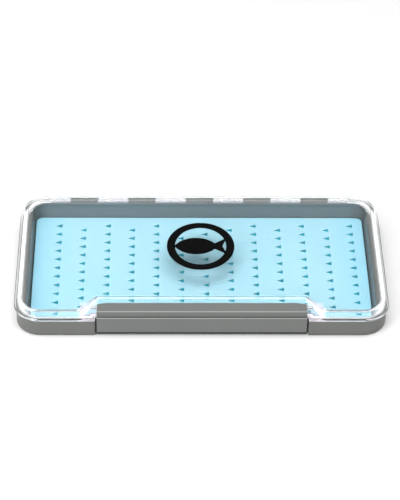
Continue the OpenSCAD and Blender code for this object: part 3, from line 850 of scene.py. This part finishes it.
# All slits as one cutter: a triangle with a fine cut at its point, carried down through levels. A level is
# a height from the insert's top and the share of the flare by which the outline grows there
def slitCutter():
    s = insertSizes
    half = (s["mouthLength"] + s["cutLength"]) / 2
    w, c, f = s["mouthWidth"] / 2, s["cutWidth"] / 2, s["cutFlare"]
    neck = half - s["mouthLength"] + s["cutWidth"]
    shape = np.array([(half, -w), (half, w), (neck, c), (-half, c), (-half, -c), (neck, -c)])
    grow = np.array([(1, -1), (1, 1), (0, f), (-f, f), (-f, -f), (0, -f)])
    heights, shares = np.array(s["levels"]).T
    around, size = len(shape), len(heights) * len(shape)
    layers = np.empty((len(heights), around, 3))
    layers[..., :2] = shape + grow * (shares * s["flare"])[:, None, None]
    layers[..., 2] = (insertHigh[2] + heights)[:, None]
    places = slitPlaces()
    grid = np.broadcast_to(layers, (len(places), *layers.shape)).copy()
    grid[..., :2] += places[:, None, None]
    base = (np.arange(len(places)) * size)[:, None, None]
    sides = (gridFaces(len(heights), around)[None] + base).reshape(-1, 4).tolist()
    foot = (np.arange(around - 1, -1, -1)[None] + base[:, 0]).tolist()
    head = (np.arange(size - around, size)[None] + base[:, 0]).tolist()
    return makePiece("slitCutter", grid.reshape(-1, 3), sides + foot + head)


# Sheet with rounded edges, less its slits
def makeInsert():
    s = insertSizes
    plan = dict(
        footPlan, half=insertHigh[0], front=insertLow[1], back=insertHigh[1], corner=s["corner"],
        recessY=insertLow[1],
    )
    low, high, edge = insertLow[2], insertHigh[2], s["edge"]
    stack = roundEdge(plan, (edge, low), (0, low + edge), "in", 3)
    stack += roundEdge(plan, (0, high - edge), (edge, high), "up", 4)
    insert = loft("siliconeInsert", stack)
    combine(insert, [slitCutter()], "DIFFERENCE")
    smoothFaces(insert, s["sharpAbove"])
    insert.data.materials.append(insertSilicone)
    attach(insert, "tray")
    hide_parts("silicone_insert")


makeInsert()
print("insert made")


lidSizes = {
    "lift": 0.2, "flange": 1.4, "corner": 13.9, "backFromHinge": 0.4, "recessIn": 0.3, "recessOut": 0.5,
    "bubbleInset": 2.0, "bubbleInsetBack": 1.0, "wall": 2.1, "top": 1.6, "hollowIn": 0.2, "hollowEdge": 0.2,
    "notchRun": 11.0, "notchNarrow": 1.2, "notchGap": 3.5,
    "flangeEdge": 0.45, "innerFillet": 0.7, "seat": 0.4,
    "shoulder": 0.9, "frontShoulder": 0.3, "frontFrom": 0.4, "frontRun": 2.0,
    "lugWidth": 4.4, "lugRoot": 0.4, "lugFootEdge": 0.05, "lugEnd": 0.25,
    "pivotBorePast": 0.1, "sharpAbove": 32,
}
lidZ = rimZ + lidSizes["lift"]
flangeZ = lidZ + lidSizes["flange"]
lidTop = lidHigh[2]
flangePlan = {
    "half": lidHigh[0], "front": lidLow[1], "back": hingeAt[1] - lidSizes["backFromHinge"],
    "corner": lidSizes["corner"], "recessHalf": trayPlan["recessHalf"],
    "recessY": trayPlan["recessY"] + swingGap,
    "recessIn": lidSizes["recessIn"], "recessOut": lidSizes["recessOut"],
}
bubblePlan = {
    "half": flangePlan["half"] - lidSizes["bubbleInset"],
    "front": flangePlan["front"] + lidSizes["bubbleInset"],
    "back": flangePlan["back"] - lidSizes["bubbleInsetBack"],
    "corner": flangePlan["corner"] - lidSizes["bubbleInset"],
    "notchHalf": latchHigh[0] - lidSizes["notchNarrow"], "notchY": latchHigh[1] + lidSizes["notchGap"],
    "notchRun": lidSizes["notchRun"],
}
hollowPlan = dict(
    bubblePlan, half=bubblePlan["half"] - lidSizes["hollowIn"],
    back=mouthPlan["back"] + traySizes["backLipThick"] + swingGap + lidSizes["wall"],
)


# Lug for the latch pin: a (y, z) block with a round top, carried along X
def lug(side):
    s = lidSizes
    y, z, edge = pivotAt[1], pivotAt[2], s["lugFootEdge"]
    low, r = flangeZ - s["lugRoot"], lidTop - pivotAt[2]
    profile = roundCorners([(y - r, low, edge), (y + r, low, edge), (y + r, z + r, r), (y - r, z + r, r)], 9)
    ends = sorted([side * flangePlan["recessHalf"], side * (flangePlan["recessHalf"] + s["lugWidth"])])
    return barAlongX("lug", profile, *ends, s["lugEnd"])


# Rounded shoulder whose radius grows from small on the straight front to large everywhere else: a quarter
# circle at each outline point, inset by radius * (1 - cos t) and lowered from the top by radius * (1 - sin
# t)
def unevenShoulder(plan, small, large, steps):
    start = plan["front"] + lidSizes["frontFrom"]
    share = np.clip((outline(plan)[:, 1] - start) / lidSizes["frontRun"], 0, 1)
    radius = small + (large - small) * share
    stack = []
    for t in np.linspace(0, math.pi / 2, steps + 1):
        tight, wide = (outline(plan, r * (1 - math.cos(t))) for r in (small, large))
        ring = tight + (wide - tight) * share[:, None]
        stack.append((ring, lidTop - radius * (1 - math.sin(t))))
    return stack


# Skin of the lid from its ceiling, down the inside, out under the flange, and up over the raised part
def makeLid():
    s = lidSizes
    wall, ceiling, inner = s["wall"], lidTop - s["top"], s["hollowEdge"]
    edge, fillet, seat = s["flangeEdge"], s["innerFillet"], s["seat"]
    stack = roundEdge(bubblePlan, (wall + fillet, ceiling), (wall, ceiling - fillet), "in", 4)
    stack += level(bubblePlan, wall, flangeZ)
    stack += level(hollowPlan, wall, flangeZ) + level(hollowPlan, wall, lidZ + inner)
    stack += level(hollowPlan, wall - inner, lidZ)
    stack += roundEdge(flangePlan, (edge, lidZ), (0, lidZ + edge), "in", 4)
    stack += roundEdge(flangePlan, (0, flangeZ - edge), (edge, flangeZ), "up", 4)
    stack += roundEdge(bubblePlan, (-seat, flangeZ), (0, flangeZ + seat), "in", 3)
    stack += unevenShoulder(bubblePlan, s["frontShoulder"], s["shoulder"], 8)
    lid = loft("clearLid", stack)
    barrels = rods("lidBarrels", *lidBarrels(), barrelR, hingeAt)
    combine(lid, [barrels, lug(-1), lug(1)], "UNION")
    room = barrelRoom("trayBarrelRoom", *trayBarrels())
    hingeBore = bore("hingeBore", hingeHalf + pinFits["past"], pinFits["hingeFree"], hingeAt)
    pivotBore = bore("pivotBore", pivotHigh[0] + s["pivotBorePast"], pinFits["pivotHeld"], pivotAt)
    combine(lid, [room, hingeBore, pivotBore], "DIFFERENCE")
    smoothFaces(lid, s["sharpAbove"])
    lid.data.materials.append(lidClear)
    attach(lid, "lid")
    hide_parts("lid_shell")


makeLid()
print("lid made")


latchSizes = {
    "panel": 1.6, "neck": 2.6, "footIn": 0.7, "footUp": 1.7, "undercut": 0.3, "ledgeUp": 0.5, "ledge": 1.0,
    "plate": 1.6, "ridge": 0.4, "backEdge": 0.9, "backCorner": 2.0, "backKeep": 1.5, "endEdge": 0.3,
    "groove": 0.35, "grooveEdge": 0.08, "footEdge": 0.12, "frontEdge": 0.3, "barrelRound": 0.95,
    "plateEdge": 0.2, "neckBend": 0.6, "panelBend": 0.5,
    "beadLow": 2.4, "beadHigh": 3.3, "beadHalf": 19.0, "beadOut": 0.3, "beadRoot": 0.4,
    "beadEdges": (0.1, 0.4, 0.3), "beadEnd": 0.3, "sharpAbove": 32,
}


# Rounds the latch's back corners seen from above: within a corner's radius r of an end, at distance d past
# its start, points move forward by r - sqrt(r * r - d * d), in full at the back edge and not at all at the
# neck
def roundBack(grid):
    r = latchSizes["backCorner"]
    beyond = np.clip(np.abs(grid[..., 0]) - (latchHigh[0] - r), 0, r)
    pull = r - np.sqrt(np.maximum(r * r - beyond * beyond, 0))
    start = latchLow[1] + latchSizes["neck"]
    share = np.clip((grid[..., 1] - start) / (latchHigh[1] - start), 0, 1)
    moved = grid.copy()
    moved[..., 1] -= np.minimum(pull, latchHigh[1] - start - latchSizes["backKeep"]) * share
    return moved


# Rounded bead that snaps behind the catch rib: a (y, z) block carried along X
def bead():
    s = latchSizes
    inside = latchLow[1] + s["panel"] - s["beadRoot"]
    reach = traySizes["recessY"] - traySizes["catchOut"] + s["beadOut"]
    root, under, over = s["beadEdges"]
    profile = roundCorners([
        (inside, s["beadLow"], root), (reach, s["beadLow"], under),
        (reach, s["beadHigh"], over), (inside, s["beadHigh"], root),
    ])
    return barAlongX("bead", profile, -s["beadHalf"], s["beadHalf"], s["beadEnd"])


# The latch's (y, z) section carried along X: front panel, ledge with its line, top plate, barrel and neck
def makeLatch():
    s = latchSizes
    f, low, top = latchLow[1], latchLow[2], latchHigh[2]
    y, z = pivotAt[1], pivotAt[2]
    r = latchHigh[1] - y
    bend, ledgeZ, ledge = low + s["footUp"], flangeZ + s["ledgeUp"], f + s["ledge"]
    groove, grooveEdge = s["groove"], s["grooveEdge"]
    profile = roundCorners([
        (f + s["footIn"], low, s["footEdge"]),
        (f + s["footIn"], bend - s["undercut"], s["frontEdge"]),
        (f, bend, s["frontEdge"]),
        (f, ledgeZ, s["frontEdge"]),
        (ledge - groove, ledgeZ, grooveEdge),
        (ledge - groove, ledgeZ - groove, grooveEdge),
        (ledge, ledgeZ - groove, grooveEdge),
        (ledge, top, s["ridge"]),
        (y + r, top, s["backEdge"]),
        (y + r, z - r, s["barrelRound"] * r),
        (y - r, z - r, s["barrelRound"] * r),
        (y - r, top - s["plate"], s["plateEdge"]),
        (f + s["neck"], top - s["plate"], s["neckBend"]),
        (f + s["neck"], flangeZ, s["panelBend"]),
        (f + s["panel"], lidZ, s["panelBend"]),
        (f + s["panel"], low, s["footEdge"]),
    ], 6)
    latch = barAlongX("latch", profile, latchLow[0], latchHigh[0], s["endEdge"], roundBack, 5, 25)
    combine(latch, [bead()], "UNION")
    latchBore = bore("latchBore", latchHigh[0] + pinFits["past"], pinFits["pivotFree"], pivotAt)
    combine(latch, [latchBore], "DIFFERENCE")
    smoothFaces(latch, s["sharpAbove"])
    latch.data.materials.append(latchPlastic)
    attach(latch, "latch_body")
    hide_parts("latch")


makeLatch()
print("latch made")


# Pieces kept from the frame, with finer finishes
keptFinishes = {
    "hinge_pin": pinSteel, "latch_pin": pinSteel, "insert_adhesive": adhesiveFilm, "lid_emblem": emblemInk,
}
for node, finish in keptFinishes.items():
    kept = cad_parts[node]
    kept.data.materials.clear()
    kept.data.materials.append(finish)
print("kept pieces painted")


stageSettings = {
    "floorHalf": 3.0, "floorTone": (0.71, 0.71, 0.71, 1.0), "skyStrength": 0.66,
    "cardToward": (0.0, 0.766, 0.643), "cardFrom": 0.82, "cardTo": 0.96, "cardStrength": 0.12,
    "top": {"at": (0.0, -0.05, 1.3), "size": (1.5, 0.9), "power": 17.0},
    "fill": {"at": (-0.45, -0.5, 0.4), "size": (0.35, 0.25), "power": 2.4},
}
cameraView = {
    "elevation": 40.0, "yaw": -1.48, "roll": 1.02, "distance": 1.1548,
    "lookAt": (-0.00005, 0.0139, 0.0048), "lens": 150.1, "sensor": 36.0, "clip": (0.05, 50.0),
}


def makeFloor():
    half = stageSettings["floorHalf"] / mm
    corners = [(-half, -half, 0), (half, -half, 0), (half, half, 0), (-half, half, 0)]
    floor = makePiece("floor", corners, [(0, 1, 2, 3)])
    material, tree = newMaterial("paleFloor")
    shader = addNode(tree, "ShaderNodeBsdfPrincipled", Roughness=0.9)
    shader.inputs["Base Color"].default_value = stageSettings["floorTone"]
    finishMaterial(tree, shader)
    floor.data.materials.append(material)


# Even white sky with a dim card high behind the box: strength falls as a direction's dot product with the
# card's nears one
def makeSky():
    world = bpy.data.worlds.new("studio")
    bpy.context.scene.world = world
    world.use_nodes = True
    tree = world.node_tree
    sky = tree.nodes["Background"]
    sky.inputs["Color"].default_value = (1.0, 1.0, 1.0, 1.0)
    place = tree.nodes.new("ShaderNodeTexCoord")
    toward = tree.nodes.new("ShaderNodeVectorMath")
    toward.operation = "DOT_PRODUCT"
    toward.inputs[1].default_value = stageSettings["cardToward"]
    fade = addNode(
        tree, "ShaderNodeMapRange", From_Min=stageSettings["cardFrom"], From_Max=stageSettings["cardTo"],
        To_Min=stageSettings["skyStrength"], To_Max=stageSettings["cardStrength"],
    )
    fade.interpolation_type = "SMOOTHSTEP"
    tree.links.new(place.outputs["Generated"], toward.inputs[0])
    tree.links.new(toward.outputs["Value"], fade.inputs["Value"])
    tree.links.new(fade.outputs["Result"], sky.inputs["Strength"])


def makeLight(name):
    s = stageSettings[name]
    light = bpy.data.lights.new(name, "AREA")
    light.shape = "RECTANGLE"
    light.size, light.size_y = s["size"]
    light.energy = s["power"]
    holder = bpy.data.objects.new(name, light)
    bpy.context.scene.collection.objects.link(holder)
    holder.location = s["at"]
    holder.rotation_euler = (-Vector(s["at"])).to_track_quat("-Z", "Y").to_euler()


# Camera turned by yaw about Z, elevation about X and roll about its own axis, set back along its view
def makeCamera():
    s = cameraView
    turn = Matrix.Rotation(math.radians(s["yaw"]), 4, "Z")
    tilt = Matrix.Rotation(math.radians(90 - s["elevation"]), 4, "X")
    roll = Matrix.Rotation(math.radians(s["roll"]), 4, "Z")
    facing = turn @ tilt @ roll
    data = bpy.data.cameras.new("camera")
    data.lens = s["lens"]
    data.sensor_width = s["sensor"]
    data.clip_start, data.clip_end = s["clip"]
    camera = bpy.data.objects.new("camera", data)
    bpy.context.scene.collection.objects.link(camera)
    back = facing.to_3x3() @ Vector((0, 0, s["distance"]))
    camera.matrix_world = Matrix.Translation(Vector(s["lookAt"]) + back) @ facing
    bpy.context.scene.camera = camera


makeFloor()
makeSky()
makeLight("top")
makeLight("fill")
makeCamera()
bpy.context.scene.view_settings.view_transform = "Standard"
print("stage made")
